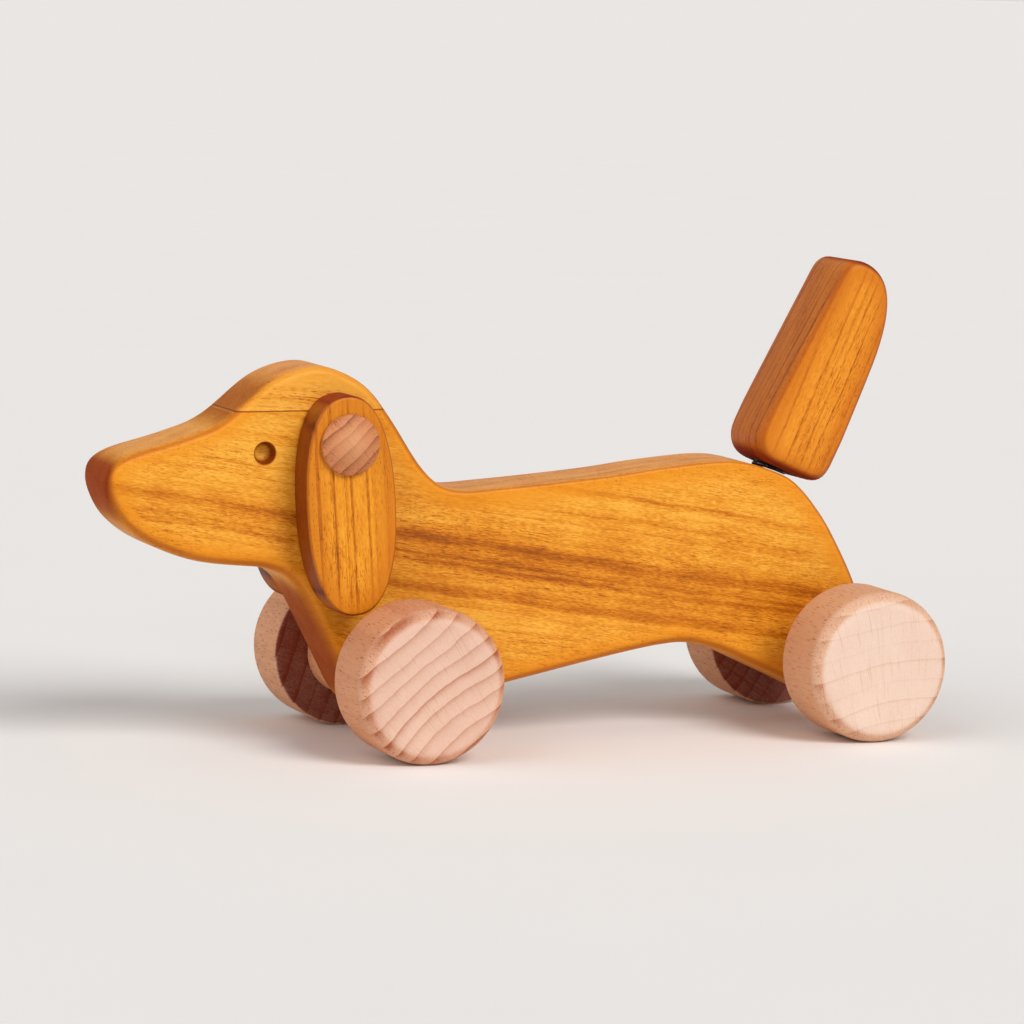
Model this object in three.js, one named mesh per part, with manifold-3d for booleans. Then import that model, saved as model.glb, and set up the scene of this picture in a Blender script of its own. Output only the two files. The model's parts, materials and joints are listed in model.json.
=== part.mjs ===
// A wooden dachshund on four wheels, with ears that swing on pegs and a tail on a coil spring.
// Units are millimetres. +X points to the nose, +Y to the dog's left and +Z up.
// The origin is on the floor, under the middle of the toy.
import * as THREE from "three";
import { mergeVertices } from "three/addons/utils/BufferGeometryUtils.js";
import Module from "manifold-3d";

// Fits and facets
const RUNNING_CLEARANCE = 0.1; // round a shaft that turns, or a dowel before it is glued
const SEATING_GAP = 0.3; // between two faces that lie against each other
const WHEEL_SIDES = 48;
const TURNED_SIDES = 32; // spacers, dowels, pegs and drilled holes

// The board that the body and the tail are sawn from
const BOARD_THICKNESS = 25;
const BOARD_EDGE_RADIUS = 4;
const EDGE_STEPS = 3;
const OUTLINE_STEPS = 4; // straight steps between two points of an outline

// Wheels, axles and spacers
const WHEELBASE = 157.6;
const WHEEL_RADIUS = 25;
const WHEEL_WIDTH = 24.5;
const WHEEL_OUTER_ROUND = 5.3;
const WHEEL_INNER_ROUND = 1.6;
const ROUND_STEPS = 4;
const AXLE_RADIUS = 5;
const AXLE_CHAMFER = 0.8;
const AXLE_SEAT_DEPTH = 16; // length of dowel glued into each wheel
const SPACER_RADIUS = 14;
const SPACER_EDGE = 0.8;

// Body outline: the legs end in arcs round the axles. Points of the muzzle are given as a share of the
// way to the nose and a height from it, and those of the back as a share of the wheelbase and a height.
// Points of the top of the head are given from its glue line, and the others from the nearer axle
const LEG_RADIUS = 15.5;
const FRONT_LEG_ARC = [-101, -27.3]; // degrees, from the belly round to the chest
const HIND_LEG_ARC = [170, 292.5]; // degrees, from the rump round to the belly
const CHEST_TOP = [30.1, 23.5];
const THROAT_CORNER = [35, 32.6];
const CHIN = [44.5, 33.9];
const NOSE_REACH = 96.2;
const NOSE_HEIGHT = 62.5;
const MUZZLE_BELOW = [[0.607, -27.3], [0.712, -25.3], [0.819, -21.4], [0.902, -16.6], [0.965, -10]];
const MUZZLE_ABOVE = [[0.946, 7], [0.743, 12.8], [0.605, 18]];
const CROWN_SEAM_HEIGHT = 83.4; // glue line of the strip on top of the head, above the axles
const HEAD_TOP = [[42, 9.7], [28, 14.1], [18, 12], [9, 6.6], [1, -3.2]];
const NAPE = [[-11, 63], [-21, 57.2], [-38.6, 57.5]];
const BACK = [[0.471, 60.4], [0.608, 63]];
const RUMP = [[37.7, 64.4], [20.9, 60.2], [13, 55.5], [6.8, 49], [0.5, 40.5], [-8.4, 24.7], [-12.7, 13.5]];
const BELLY_REAR = [[22.4, -6.6], [44.7, 2.7], [63.7, 3.5]];
const BELLY_FRONT = [-43.1, -6.3];

// Eye: a blind hole drilled with a pointed bit, placed from the glue line
const EYE_PLACE = [44, -13.1];
const EYE_RADIUS = 4;
const EYE_DEPTH = 3;
const EYE_POINT_DEPTH = 1.4;

// Ears and their pegs
const EAR_LENGTH = 70;
const EAR_WIDTH = 30;
const EAR_THICKNESS = 12;
const EAR_FULLNESS = 2.34; // exponent of the oval: 2 is an ellipse
const EAR_POINTS = 48;
const EAR_EDGE_RADIUS = 1.2;
const EAR_EDGE_STEPS = 2;
const LEFT_EAR_LEAN = 4.3; // degrees, top towards the nose
const RIGHT_EAR_LEAN = -1;
const EAR_PEG_DROP = 15.4; // peg below the top of the ear
const EAR_WHEEL_CLEARANCE = 1.9;
const PEG_PLACE = [20.5, -9.4]; // from the glue line
const PEG_SHANK_RADIUS = 5;
const PEG_SEAT_DEPTH = 9;
const PEG_HEAD_RADIUS = 10;
const PEG_RIM = 1.2;
const PEG_DOME = 4;
const PEG_DOME_POWER = 1.8; // 2 is a parabola, and less is more pointed
const PEG_DOME_STEPS = 6;

// Tail and spring, on an axis that leans back from the rump
const TAIL_ROOT = [18.6, 60.1];
const TAIL_LEAN = 23; // degrees
const TAIL_LENGTH = 74;
const TAIL_FRONT_REACH = 13.9;
const TAIL_REAR_REACH = 15.9;
const TAIL_TIP_FRONT_REACH = 8.6;
const TAIL_TIP_FRONT_ROUND = 7.5;
const TAIL_TIP_REAR_REACH = 10.5;
const TAIL_TIP_REAR_ROUND = 34; // length of the long curve at the back of the tip
const TAIL_TIP_REAR_SHOULDER = 11; // how soon that curve turns in: its control point, below the top
const TAIL_FRONT_CORNER = 9;
const TAIL_REAR_CORNER = 7;
const TAIL_GAP = 2;
const CURVE_STEPS = 8;
const SPRING_RADIUS = 6;
const SPRING_WIRE = 1.4;
const SPRING_CURLS = 8;
const SPRING_PITCH = 2;
const SPRING_SEAT_CLEARANCE = 0.3;
const CURL_STEPS = 8;
const WIRE_SIDES = 5;
const END_BEND_STEPS = 3;

// Sizes and places that follow from the ones above
const HALF_BOARD = BOARD_THICKNESS / 2;
const AXLE_HEIGHT = WHEEL_RADIUS * Math.cos(Math.PI / WHEEL_SIDES); // a wheel stands on a flat
const FRONT_AXLE_X = (WHEELBASE + WHEEL_RADIUS - NOSE_REACH) / 2;
const REAR_AXLE_X = FRONT_AXLE_X - WHEELBASE;
const EAR_INNER_Y = HALF_BOARD + SEATING_GAP;
const EAR_OUTER_Y = EAR_INNER_Y + EAR_THICKNESS;
const WHEEL_INNER_Y = EAR_OUTER_Y + EAR_WHEEL_CLEARANCE;
const SPACER_LENGTH = WHEEL_INNER_Y - HALF_BOARD - 2 * SEATING_GAP;
const AXLE_HALF_LENGTH = WHEEL_INNER_Y + AXLE_SEAT_DEPTH;
const PEG_SHANK_LENGTH = PEG_SEAT_DEPTH + SEATING_GAP + EAR_THICKNESS + SEATING_GAP;
const SPRING_COIL_RADIUS = SPRING_RADIUS - SPRING_WIRE / 2;
const SPRING_LENGTH = SPRING_CURLS * SPRING_PITCH + 4 * SPRING_WIRE;
const SPRING_HOLE_REACH = SPRING_LENGTH / 2 + SEATING_GAP;
const SEAM_Z = AXLE_HEIGHT + CROWN_SEAM_HEIGHT;

const radians = THREE.MathUtils.degToRad;
const fromFront = ([x, z]) => new THREE.Vector2(FRONT_AXLE_X + x, AXLE_HEIGHT + z);
const fromRear = ([x, z]) => new THREE.Vector2(REAR_AXLE_X + x, AXLE_HEIGHT + z);
const alongMuzzle = ([share, z]) => fromFront([share * NOSE_REACH, NOSE_HEIGHT + z]);
const alongBack = ([share, z]) => fromFront([-share * WHEELBASE, z]);
const fromSeam = ([x, z]) => new THREE.Vector2(FRONT_AXLE_X + x, SEAM_Z + z);

const wasm = await Module();
wasm.setup();

// A closed geometry as a solid that can be joined and cut
function solidOf(geometry) {
  const bare = geometry.clone();
  bare.deleteAttribute("normal");
  bare.deleteAttribute("uv");
  const merged = mergeVertices(bare);
  const vertProperties = new Float32Array(merged.attributes.position.array);
  const triVerts = new Uint32Array(merged.index.array);
  return new wasm.Manifold(new wasm.Mesh({ numProp: 3, vertProperties, triVerts }));
}

function geometryOf(solid) {
  const mesh = solid.getMesh();
  const geometry = new THREE.BufferGeometry();
  geometry.setAttribute("position", new THREE.BufferAttribute(mesh.vertProperties, 3));
  geometry.setIndex(new THREE.BufferAttribute(mesh.triVerts, 1));
  geometry.computeVertexNormals();
  return geometry;
}

// An outline in X and Z sawn from a board that lies centred on the XZ plane, with its edges rounded over
function sawnBoard(outline, thickness, edgeRadius, edgeSteps, outlineSteps) {
  const depth = thickness - 2 * edgeRadius;
  const board = new THREE.ExtrudeGeometry(outline, {
    depth,
    steps: 1,
    curveSegments: outlineSteps,
    bevelEnabled: true,
    bevelThickness: edgeRadius,
    bevelSize: edgeRadius,
    bevelOffset: -edgeRadius,
    bevelSegments: edgeSteps,
  });
  board.translate(0, 0, -depth / 2);
  board.rotateX(Math.PI / 2);
  return board;
}

// A profile of [radius, height] points turned about the Y axis, with a flat facing down
function turned(profile, sides) {
  const points = profile.map(([radius, height]) => new THREE.Vector2(radius, height));
  return new THREE.LatheGeometry(points, sides, Math.PI / sides);
}

// A drill of that size along Y, widened so that its flats clear a round shaft of the size
function drill(shaftRadius, clearance, low, high) {
  const radius = (shaftRadius + clearance) / Math.cos(Math.PI / TURNED_SIDES);
  return turned([[0, low], [radius, low], [radius, high], [0, high]], TURNED_SIDES);
}

// Quarter circle of a rounded edge, as profile points from one angle to another
function roundedEdge([centreRadius, centreHeight], round, fromDegrees, toDegrees) {
  const points = [];
  for (let step = 0; step <= ROUND_STEPS; step += 1) {
    const angle = radians(fromDegrees + ((toDegrees - fromDegrees) * step) / ROUND_STEPS);
    points.push([centreRadius + round * Math.cos(angle), centreHeight + round * Math.sin(angle)]);
  }
  return points;
}

function bodyOutline() {
  const outline = new THREE.Shape();
  outline.absarc(FRONT_AXLE_X, AXLE_HEIGHT, LEG_RADIUS, ...FRONT_LEG_ARC.map(radians), false);
  outline.lineTo(...fromFront(CHEST_TOP));
  outline.quadraticCurveTo(...fromFront(THROAT_CORNER), ...fromFront(CHIN));
  const nose = [1, 0];
  const hindLeg = radians(HIND_LEG_ARC[0]);
  const hindLegTop = [LEG_RADIUS * Math.cos(hindLeg), LEG_RADIUS * Math.sin(hindLeg)];
  outline.splineThru([
    ...[...MUZZLE_BELOW, nose, ...MUZZLE_ABOVE].map(alongMuzzle),
    ...HEAD_TOP.map(fromSeam),
    ...NAPE.map(fromFront),
    ...BACK.map(alongBack),
    ...[...RUMP, hindLegTop].map(fromRear),
  ]);
  outline.absarc(REAR_AXLE_X, AXLE_HEIGHT, LEG_RADIUS, ...HIND_LEG_ARC.map(radians), false);
  outline.splineThru([...BELLY_REAR.map(fromRear), fromFront(BELLY_FRONT)]);
  outline.closePath();
  return outline;
}

function tailOutline() {
  const bottom = TAIL_GAP / 2;
  const top = bottom + TAIL_LENGTH;
  const outline = new THREE.Shape();
  outline.moveTo(-TAIL_REAR_REACH + TAIL_REAR_CORNER, bottom);
  outline.lineTo(TAIL_FRONT_REACH - TAIL_FRONT_CORNER, bottom);
  outline.quadraticCurveTo(TAIL_FRONT_REACH, bottom, TAIL_FRONT_REACH, bottom + TAIL_FRONT_CORNER);
  outline.lineTo(TAIL_TIP_FRONT_REACH, top - TAIL_TIP_FRONT_ROUND);
  outline.quadraticCurveTo(TAIL_TIP_FRONT_REACH, top, TAIL_TIP_FRONT_REACH - TAIL_TIP_FRONT_ROUND, top);
  outline.bezierCurveTo(
    -TAIL_TIP_REAR_REACH, top,
    -TAIL_REAR_REACH, top - TAIL_TIP_REAR_SHOULDER,
    -TAIL_REAR_REACH, top - TAIL_TIP_REAR_ROUND,
  );
  outline.lineTo(-TAIL_REAR_REACH, bottom + TAIL_REAR_CORNER);
  outline.quadraticCurveTo(-TAIL_REAR_REACH, bottom, -TAIL_REAR_REACH + TAIL_REAR_CORNER, bottom);
  return outline;
}

// An oval between an ellipse and a rectangle, with the peg at its origin
function earOutline() {
  const signedPower = (value) => Math.sign(value) * Math.abs(value) ** (2 / EAR_FULLNESS);
  const middle = EAR_PEG_DROP - EAR_LENGTH / 2;
  const points = [];
  for (let index = 0; index < EAR_POINTS; index += 1) {
    const angle = (2 * Math.PI * index) / EAR_POINTS;
    const across = (EAR_WIDTH / 2) * signedPower(Math.cos(angle));
    const along = middle + (EAR_LENGTH / 2) * signedPower(Math.sin(angle));
    points.push(new THREE.Vector2(across, along));
  }
  return new THREE.Shape(points);
}

function wheelGeometry() {
  const bore = (AXLE_RADIUS + RUNNING_CLEARANCE) / Math.cos(Math.PI / WHEEL_SIDES);
  const boreDepth = AXLE_SEAT_DEPTH + SEATING_GAP;
  const innerCentre = [WHEEL_RADIUS - WHEEL_INNER_ROUND, WHEEL_INNER_ROUND];
  const outerCentre = [WHEEL_RADIUS - WHEEL_OUTER_ROUND, WHEEL_WIDTH - WHEEL_OUTER_ROUND];
  return turned([
    [0, boreDepth],
    [bore, boreDepth],
    [bore, 0],
    ...roundedEdge(innerCentre, WHEEL_INNER_ROUND, -90, 0),
    ...roundedEdge(outerCentre, WHEEL_OUTER_ROUND, 0, 90),
    [0, WHEEL_WIDTH],
  ], WHEEL_SIDES);
}

function spacerGeometry() {
  const bore = (AXLE_RADIUS + RUNNING_CLEARANCE) / Math.cos(Math.PI / TURNED_SIDES);
  return turned([
    [bore, 0],
    [SPACER_RADIUS - SPACER_EDGE, 0],
    [SPACER_RADIUS, SPACER_EDGE],
    [SPACER_RADIUS, SPACER_LENGTH - SPACER_EDGE],
    [SPACER_RADIUS - SPACER_EDGE, SPACER_LENGTH],
    [bore, SPACER_LENGTH],
    [bore, 0],
  ], TURNED_SIDES);
}

function axleGeometry() {
  return turned([
    [0, -AXLE_HALF_LENGTH],
    [AXLE_RADIUS - AXLE_CHAMFER, -AXLE_HALF_LENGTH],
    [AXLE_RADIUS, -AXLE_HALF_LENGTH + AXLE_CHAMFER],
    [AXLE_RADIUS, AXLE_HALF_LENGTH - AXLE_CHAMFER],
    [AXLE_RADIUS - AXLE_CHAMFER, AXLE_HALF_LENGTH],
    [0, AXLE_HALF_LENGTH],
  ], TURNED_SIDES);
}

// A turned peg: its shank runs down from height 0, under a domed head
function pegGeometry() {
  const dome = [];
  for (let step = 0; step <= PEG_DOME_STEPS; step += 1) {
    const share = 1 - step / PEG_DOME_STEPS;
    dome.push([PEG_HEAD_RADIUS * share, PEG_RIM + PEG_DOME * (1 - share ** PEG_DOME_POWER)]);
  }
  return turned([
    [0, -PEG_SHANK_LENGTH],
    [PEG_SHANK_RADIUS, -PEG_SHANK_LENGTH],
    [PEG_SHANK_RADIUS, 0],
    [PEG_HEAD_RADIUS, 0],
    ...dome,
  ], TURNED_SIDES);
}

function earGeometry() {
  const board = solidOf(sawnBoard(earOutline(), EAR_THICKNESS, EAR_EDGE_RADIUS, EAR_EDGE_STEPS, 1));
  const hole = drill(PEG_SHANK_RADIUS, RUNNING_CLEARANCE, -EAR_THICKNESS, EAR_THICKNESS);
  return geometryOf(board.subtract(solidOf(hole)));
}

// Hole for one end of the spring, drilled along Z from the middle of the gap under the tail
function springHole(direction) {
  const hole = drill(SPRING_RADIUS, SPRING_SEAT_CLEARANCE, 0, SPRING_HOLE_REACH);
  return hole.rotateX((direction * Math.PI) / 2);
}

function tailGeometry() {
  const board = sawnBoard(tailOutline(), BOARD_THICKNESS, BOARD_EDGE_RADIUS, EDGE_STEPS, CURVE_STEPS);
  return geometryOf(solidOf(board).subtract(solidOf(springHole(1))));
}

// The spring's wire as stations along Z: each has its middle, its direction and the way out from the axis
function springStations() {
  const bend = SPRING_WIRE;
  const bendTurn = bend / SPRING_COIL_RADIUS;
  const rise = (SPRING_CURLS * SPRING_PITCH) / (SPRING_CURLS * 2 * Math.PI);
  const stations = [];
  const station = (turn, height, climb) => {
    const out = new THREE.Vector3(Math.cos(turn), Math.sin(turn), 0);
    const round = new THREE.Vector3(-Math.sin(turn), Math.cos(turn), 0);
    const along = round.multiplyScalar(Math.cos(climb)).setZ(Math.sin(climb));
    const middle = out.clone().multiplyScalar(SPRING_COIL_RADIUS).setZ(height);
    stations.push({ middle, along, out });
  };
  const low = -SPRING_LENGTH / 2;
  const high = SPRING_LENGTH / 2;
  const slope = Math.atan(rise / SPRING_COIL_RADIUS);
  station(-bendTurn, low, Math.PI / 2);
  for (let step = 0; step < END_BEND_STEPS; step += 1) {
    const angle = ((Math.PI / 2) * step) / END_BEND_STEPS;
    const height = low + SPRING_WIRE + bend * Math.sin(angle);
    station(-bendTurn * Math.cos(angle), height, Math.PI / 2 - angle);
  }
  for (let step = 0; step <= SPRING_CURLS * CURL_STEPS; step += 1) {
    const turn = (2 * Math.PI * step) / CURL_STEPS;
    station(turn, low + SPRING_WIRE + bend + rise * turn, slope);
  }
  const lastTurn = 2 * Math.PI * SPRING_CURLS;
  for (let step = END_BEND_STEPS - 1; step >= 0; step -= 1) {
    const angle = ((Math.PI / 2) * step) / END_BEND_STEPS;
    const height = high - SPRING_WIRE - bend * Math.sin(angle);
    station(lastTurn + bendTurn * Math.cos(angle), height, Math.PI / 2 - angle);
  }
  station(lastTurn + bendTurn, high, Math.PI / 2);
  return stations;
}

// Least gap between parts of the wire that are more than half a curl apart
function springGap(stations) {
  let least = Infinity;
  const apart = CURL_STEPS / 2;
  stations.forEach((first, index) => {
    stations.slice(index + apart).forEach((second) => {
      least = Math.min(least, first.middle.distanceTo(second.middle) - SPRING_WIRE);
    });
  });
  return least;
}

function springGeometry(stations) {
  const positions = [];
  const faces = [];
  const ring = (station, side) => (station * WIRE_SIDES) + (side % WIRE_SIDES);
  stations.forEach(({ middle, along, out }) => {
    const up = along.clone().cross(out);
    for (let side = 0; side < WIRE_SIDES; side += 1) {
      const angle = (2 * Math.PI * side) / WIRE_SIDES;
      const point = middle.clone()
        .addScaledVector(out, (SPRING_WIRE / 2) * Math.cos(angle))
        .addScaledVector(up, (SPRING_WIRE / 2) * Math.sin(angle));
      positions.push(...point);
    }
  });
  const last = stations.length - 1;
  for (let side = 0; side < WIRE_SIDES; side += 1) {
    for (let station = 0; station < last; station += 1) {
      faces.push(ring(station, side), ring(station, side + 1), ring(station + 1, side));
      faces.push(ring(station, side + 1), ring(station + 1, side + 1), ring(station + 1, side));
    }
  }
  for (let side = 1; side < WIRE_SIDES - 1; side += 1) {
    faces.push(ring(0, 0), ring(0, side + 1), ring(0, side));
    faces.push(ring(last, 0), ring(last, side), ring(last, side + 1));
  }
  const geometry = new THREE.BufferGeometry();
  geometry.setAttribute("position", new THREE.Float32BufferAttribute(positions, 3));
  geometry.setIndex(faces);
  geometry.computeVertexNormals();
  return geometry;
}

const oiledWood = () => new THREE.MeshStandardMaterial({ color: 0xe39a3e, roughness: 0.45, metalness: 0 });
const earWood = () => new THREE.MeshStandardMaterial({ color: 0xdb862b, roughness: 0.5, metalness: 0 });
const paleBeech = () => new THREE.MeshStandardMaterial({ color: 0xf0cbb2, roughness: 0.65, metalness: 0 });
const darkSteel = () => new THREE.MeshStandardMaterial({ color: 0x2b2a2c, roughness: 0.35, metalness: 1 });

const toy = new THREE.Group();

function addPiece(name, geometry, material, parent = toy) {
  const mesh = new THREE.Mesh(geometry, material);
  mesh.name = name;
  parent.add(mesh);
  return mesh;
}

// Tail group: its origin is in the middle of the gap over the rump, and its Z runs up the tail
const tailGroup = new THREE.Group();
const tailRoot = fromRear(TAIL_ROOT);
tailGroup.position.set(tailRoot.x, 0, tailRoot.y);
tailGroup.rotation.y = -radians(TAIL_LEAN);
tailGroup.updateMatrix();
toy.add(tailGroup);
addPiece("tail", tailGeometry(), oiledWood(), tailGroup);
const stations = springStations();
console.log(`tail_spring least gap to itself ${springGap(stations).toFixed(2)} mm`);
addPiece("tail_spring", springGeometry(stations), darkSteel(), tailGroup);

// Body and crown: one sawn outline, drilled and then parted along the glue line on the head
const pegCentre = fromSeam(PEG_PLACE);
const eyeCentre = fromSeam(EYE_PLACE);
const sawnDog = sawnBoard(bodyOutline(), BOARD_THICKNESS, BOARD_EDGE_RADIUS, EDGE_STEPS, OUTLINE_STEPS);
let dog = solidOf(sawnDog);
for (const axleX of [FRONT_AXLE_X, REAR_AXLE_X]) {
  const bore = drill(AXLE_RADIUS, RUNNING_CLEARANCE, -BOARD_THICKNESS, BOARD_THICKNESS);
  dog = dog.subtract(solidOf(bore.translate(axleX, 0, AXLE_HEIGHT)));
}
for (const turnRound of [0, Math.PI]) {
  const eye = turned([
    [0, HALF_BOARD - EYE_DEPTH - EYE_POINT_DEPTH],
    [EYE_RADIUS, HALF_BOARD - EYE_DEPTH],
    [EYE_RADIUS, BOARD_THICKNESS],
    [0, BOARD_THICKNESS],
  ], TURNED_SIDES);
  const pegHoleBottom = HALF_BOARD - PEG_SEAT_DEPTH - SEATING_GAP;
  const pegHole = drill(PEG_SHANK_RADIUS, RUNNING_CLEARANCE, pegHoleBottom, BOARD_THICKNESS);
  dog = dog.subtract(solidOf(eye.rotateZ(turnRound).translate(eyeCentre.x, 0, eyeCentre.y)));
  dog = dog.subtract(solidOf(pegHole.rotateZ(turnRound).translate(pegCentre.x, 0, pegCentre.y)));
}
dog = dog.subtract(solidOf(springHole(-1).applyMatrix4(tailGroup.matrix)));
const room = 2 * (WHEELBASE + NOSE_REACH);
const block = new THREE.BoxGeometry(room, room, room).translate(0, 0, room / 2);
const aboveHeight = (height) => solidOf(block.clone().translate(0, 0, height));
addPiece("body_board", geometryOf(dog.subtract(aboveHeight(SEAM_Z))), oiledWood());
addPiece("head_crown", geometryOf(dog.intersect(aboveHeight(SEAM_Z + SEATING_GAP))), oiledWood());

// Ears and pegs: the left ones face +Y, and the right ones are turned half round
for (const [side, sign, lean] of [["left", 1, LEFT_EAR_LEAN], ["right", -1, RIGHT_EAR_LEAN]]) {
  const ear = addPiece(`${side}_ear`, earGeometry(), earWood());
  ear.position.set(pegCentre.x, sign * (EAR_INNER_Y + EAR_THICKNESS / 2), pegCentre.y);
  ear.rotation.y = radians(lean);
  const peg = addPiece(`${side}_ear_peg`, pegGeometry(), paleBeech());
  peg.position.set(pegCentre.x, sign * (EAR_OUTER_Y + SEATING_GAP), pegCentre.y);
  peg.rotation.z = sign > 0 ? 0 : Math.PI;
}

// Wheel sets: a dowel axle with a spacer and a wheel at each end
for (const [end, axleX] of [["front", FRONT_AXLE_X], ["rear", REAR_AXLE_X]]) {
  const wheelSet = new THREE.Group();
  wheelSet.position.set(axleX, 0, AXLE_HEIGHT);
  toy.add(wheelSet);
  addPiece(`${end}_axle`, axleGeometry(), paleBeech(), wheelSet);
  for (const [side, turnRound] of [["left", 0], ["right", Math.PI]]) {
    const half = new THREE.Group();
    half.rotation.z = turnRound;
    wheelSet.add(half);
    const spacer = addPiece(`${end}_${side}_spacer`, spacerGeometry(), paleBeech(), half);
    spacer.position.y = HALF_BOARD + SEATING_GAP;
    const wheel = addPiece(`${end}_${side}_wheel`, wheelGeometry(), paleBeech(), half);
    wheel.position.y = WHEEL_INNER_Y;
  }
}

export default toy;
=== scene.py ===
# A wooden dachshund on four wheels: its ears swing on pegs, and its tail sits on a coil spring.
# Metres, in the frame of the solids: +X points to the nose, +Y to the dog's left and +Z up.
import json
import math

import bmesh
import bpy
from mathutils import Matrix, Vector
from mathutils.geometry import delaunay_2d_cdt
from mathutils.kdtree import KDTree


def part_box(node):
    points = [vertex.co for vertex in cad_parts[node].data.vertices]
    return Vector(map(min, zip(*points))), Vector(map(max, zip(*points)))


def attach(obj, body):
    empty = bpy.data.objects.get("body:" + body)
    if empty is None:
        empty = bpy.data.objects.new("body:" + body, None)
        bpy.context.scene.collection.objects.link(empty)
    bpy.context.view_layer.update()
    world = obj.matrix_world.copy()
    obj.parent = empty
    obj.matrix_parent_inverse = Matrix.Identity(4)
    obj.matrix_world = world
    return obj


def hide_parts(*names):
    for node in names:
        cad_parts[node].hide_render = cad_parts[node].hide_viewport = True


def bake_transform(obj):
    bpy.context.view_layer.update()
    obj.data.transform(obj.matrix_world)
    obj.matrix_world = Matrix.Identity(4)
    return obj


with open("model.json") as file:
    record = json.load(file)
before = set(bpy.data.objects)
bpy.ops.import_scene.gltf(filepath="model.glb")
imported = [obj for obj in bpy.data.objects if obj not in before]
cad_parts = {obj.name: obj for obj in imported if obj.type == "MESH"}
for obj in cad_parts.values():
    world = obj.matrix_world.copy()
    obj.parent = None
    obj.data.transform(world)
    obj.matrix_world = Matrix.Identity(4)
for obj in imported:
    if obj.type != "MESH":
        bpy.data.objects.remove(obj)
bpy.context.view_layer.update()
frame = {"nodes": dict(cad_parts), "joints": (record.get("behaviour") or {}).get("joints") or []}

# Body
# The trunk, head and legs are one piece of oiled hardwood, sawn from a thick board along one outline.
# Its edges are rounded over with a router, and the board is sanded and oiled.
# The axle bores, the eyes, the peg holes and the hole for the tail's spring are drilled.
MM = 0.001
WELD = 0.001 * MM
CUT_SNAP = WELD / 10
STRAIGHT = math.radians(0.02)
SAW_CUT_DEPTH = 8 * MM
OUTLINE_STEP = 1.2 * MM
SANDING_PASSES = 3
BOARD_EDGE = 4 * MM
BACK_EDGE = 1.2 * MM
CROWN_EDGE = 2.6 * MM
BACK_FRONT = 5 * MM
CROWN_REAR = 55 * MM
EDGE_STEPS = 7
EDGE_RUN = 6
FLAT_RIM = 0.3 * MM
FACE_GRID = 4 * MM
FILL_INSIDE_ONLY = 1
BIT_SIDES = 64
SHARP_CORNER = math.radians(40)
FIT = 0.1 * MM
GLUE_ROOM = 0.3 * MM
GLUE_SWELL = 0.1 * MM
EYE_AHEAD = 44 * MM
EYE_BELOW_SEAM = 13.1 * MM
EYE_RADIUS = 3.6 * MM
EYE_RIM = 0.25 * MM
EYE_DEPTH = 4.2 * MM
EYE_STEPS = 10
PEG_SHANK_RADIUS = 5 * MM
PEG_SEAT = 9 * MM
AXLE_RADIUS = 5 * MM
TAIL_LEAN = math.radians(23)
SPRING_RADIUS = 6 * MM
SPRING_ROOM = 0.3 * MM
SPRING_LENGTH = 21.6 * MM

half_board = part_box("body_board")[1].y
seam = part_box("body_board")[1].z
crown_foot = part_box("head_crown")[0].z
joint_place = {joint["name"]: Vector(joint["pos_m"]) for joint in frame["joints"]}
tail_root = joint_place["tail_nod"]
tail_place = Matrix.Translation(tail_root) @ Matrix.Rotation(-TAIL_LEAN, 4, "Y")
tail_up = tail_place.to_3x3() @ Vector((0, 0, 1))


def turn_at(points, index):
    """The angle by which a closed line turns at one of its points."""
    before = points[index] - points[index - 1]
    after = points[(index + 1) % len(points)] - points[index]
    return math.atan2(before.cross(after), before.dot(after))


def sawn_outline(node, depth):
    """The outline that a solid was sawn along, cut at that depth along Y: (x, z) corners, anticlockwise."""
    block = bmesh.new()
    block.from_mesh(frame["nodes"][node].data)
    bmesh.ops.remove_doubles(block, verts=block.verts, dist=WELD)
    everything = [*block.verts, *block.edges, *block.faces]
    cut = bmesh.ops.bisect_plane(
        block, geom=everything, dist=CUT_SNAP, plane_co=(0, depth, 0), plane_no=(0, 1, 0))
    links = {}
    for edge in cut["geom_cut"]:
        if isinstance(edge, bmesh.types.BMEdge):
            for vert in edge.verts:
                links.setdefault(vert, []).append(edge.other_vert(vert))
    longest = []
    while links:
        loop = []
        vert = next(iter(links))
        while vert is not None:
            loop.append(Vector((vert.co.x, vert.co.z)))
            vert = next((other for other in links.pop(vert) if other in links), None)
        longest = max(longest, loop, key=len)
    block.free()
    corners = [corner for index, corner in enumerate(longest) if abs(turn_at(longest, index)) > STRAIGHT]
    if sum(turn_at(corners, index) for index in range(len(corners))) < 0:
        corners.reverse()
    return corners


def kept_run(outline, keep):
    """The unbroken run of an outline's corners that a test keeps, in order."""
    kept = [keep(corner) for corner in outline]
    start = next(index for index in range(len(outline)) if kept[index] and not kept[index - 1])
    return [corner for corner in outline[start:] + outline[:start] if keep(corner)]


def smoothed(corners, step):
    """A closed smooth line through those corners in short steps, lightly sanded down."""
    line = []
    count = len(corners)
    for index in range(count):
        first, second, third, fourth = (corners[(index + offset) % count] for offset in (-1, 0, 1, 2))
        chord = third - second
        before = math.sqrt((second - first).length)
        between = math.sqrt(chord.length)
        after = math.sqrt((fourth - third).length)
        leave = ((second - first) / before - (third - first) / (before + between)) * between + chord
        arrive = chord + ((fourth - third) / after - (fourth - second) / (between + after)) * between
        steps = max(1, round(chord.length / step))
        for part in range(steps):
            share = part / steps
            line.append(
                second * (2 * share**3 - 3 * share**2 + 1) + leave * (share**3 - 2 * share**2 + share)
                + third * (3 * share**2 - 2 * share**3) + arrive * (share**3 - share**2))
    for _ in range(SANDING_PASSES):
        behind = line[-1:] + line[:-1]
        ahead = line[1:] + line[:1]
        line = [(last + 2 * here + following) / 4 for last, here, following in zip(behind, line, ahead)]
    return line


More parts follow.
